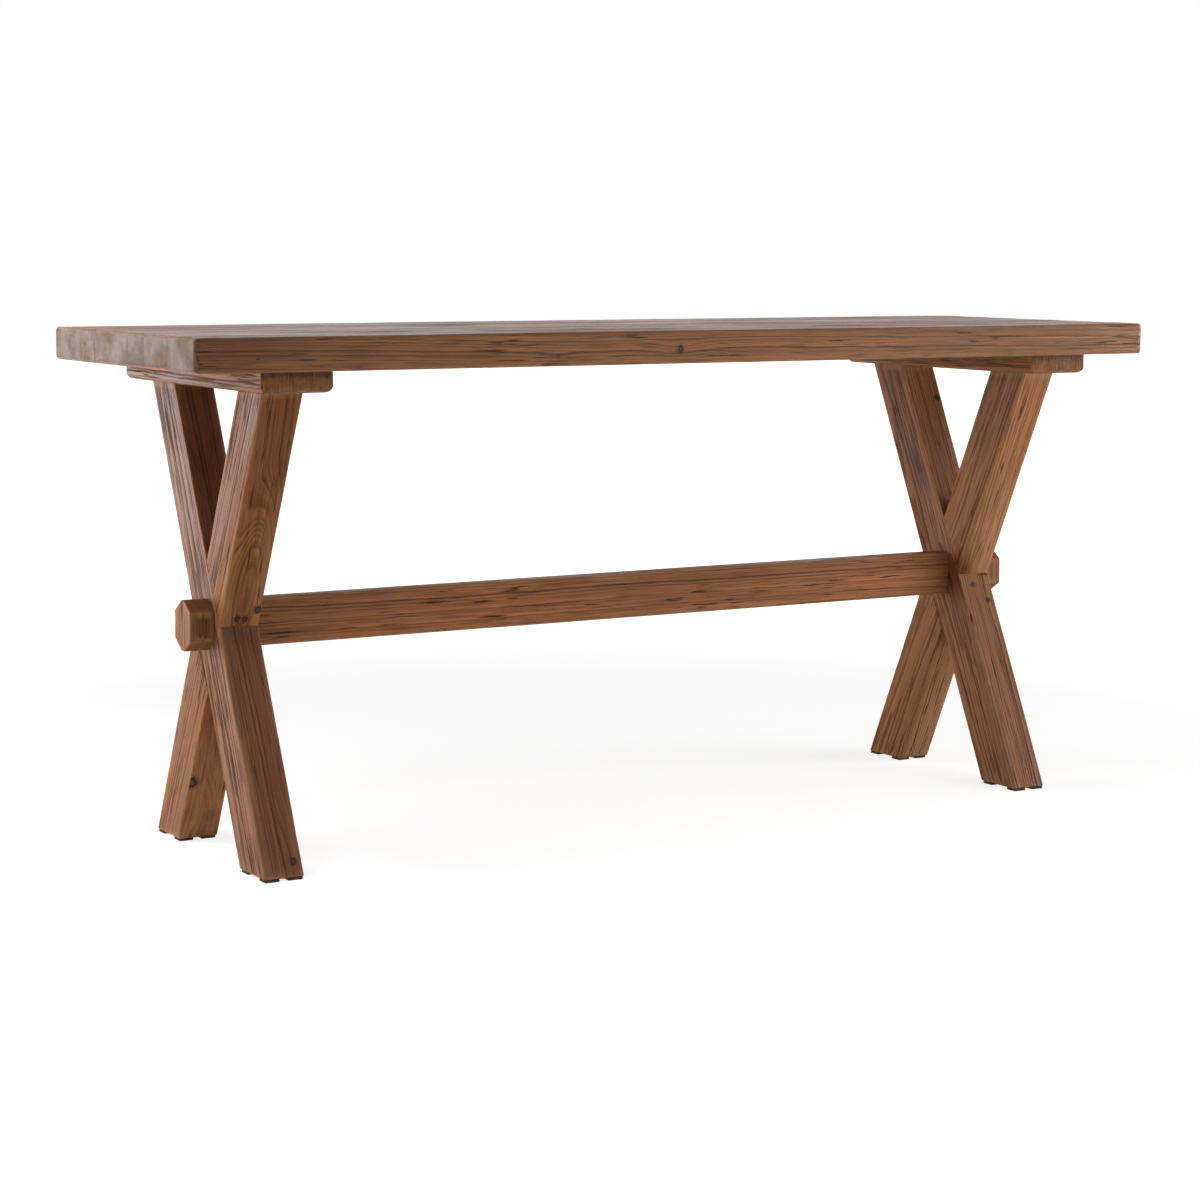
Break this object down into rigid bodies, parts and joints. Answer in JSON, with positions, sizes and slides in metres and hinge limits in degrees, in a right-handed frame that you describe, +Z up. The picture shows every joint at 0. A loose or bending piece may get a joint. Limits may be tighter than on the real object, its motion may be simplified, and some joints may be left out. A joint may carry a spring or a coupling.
{
  "type": "bar table",
  "caption": "Counter-height bar table: thick plank top on two crossed-leg trestles, tied by a stretcher that is bolted through eight-sided end blocks, on small floor pads.",
  "frame": {"origin": "on the floor, under the middle of the top", "axes": "+X along the length of the top, to the right seen from the front; +Y across it, away from the front; +Z up"},
  "size_m": [2, 0.65, 0.925],
  "materials": {
    "top_wood": "brown stained softwood planks, satin",
    "frame_wood": "brown stained softwood, satin",
    "dowel_wood": "raw hardwood dowel",
    "pad_rubber": "matt black",
    "steel": "zinc plated"
  },
  "bodies": {
    "root": {"top_plank_1": "top_wood", "top_plank_2": "top_wood", "top_plank_3": "top_wood", "top_plank_4": "top_wood", "top_plank_5": "top_wood", "top_plank_6": "top_wood", "left_cleat": "frame_wood", "right_cleat": "frame_wood", "left_leg_front": "frame_wood", "left_leg_back": "frame_wood", "right_leg_front": "frame_wood", "right_leg_back": "frame_wood", "stretcher": "frame_wood", "left_end_block": "frame_wood", "right_end_block": "frame_wood", "left_stretcher_dowel_lower": "dowel_wood", "left_stretcher_dowel_upper": "dowel_wood", "right_stretcher_dowel_lower": "dowel_wood", "right_stretcher_dowel_upper": "dowel_wood", "left_block_dowel_lower": "dowel_wood", "left_block_dowel_upper": "dowel_wood", "right_block_dowel_lower": "dowel_wood", "right_block_dowel_upper": "dowel_wood", "left_front_pad_1": "pad_rubber", "left_front_pad_2": "pad_rubber", "left_front_pad_3": "pad_rubber", "left_front_pad_4": "pad_rubber", "left_back_pad_1": "pad_rubber", "left_back_pad_2": "pad_rubber", "left_back_pad_3": "pad_rubber", "left_back_pad_4": "pad_rubber", "right_front_pad_1": "pad_rubber", "right_front_pad_2": "pad_rubber", "right_front_pad_3": "pad_rubber", "right_front_pad_4": "pad_rubber", "right_back_pad_1": "pad_rubber", "right_back_pad_2": "pad_rubber", "right_back_pad_3": "pad_rubber", "right_back_pad_4": "pad_rubber", "left_cleat_screw_1": "steel", "left_cleat_screw_2": "steel", "left_cleat_screw_3": "steel", "left_cleat_screw_4": "steel", "right_cleat_screw_1": "steel", "right_cleat_screw_2": "steel", "right_cleat_screw_3": "steel", "right_cleat_screw_4": "steel", "left_leg_front_screw": "steel", "left_leg_back_screw": "steel", "right_leg_front_screw": "steel", "right_leg_back_screw": "steel", "left_tie_bolt": "steel", "right_tie_bolt": "steel", "left_tie_washer": "steel", "right_tie_washer": "steel", "left_cross_nut": "steel", "right_cross_nut": "steel"}
  },
  "joints": []
}
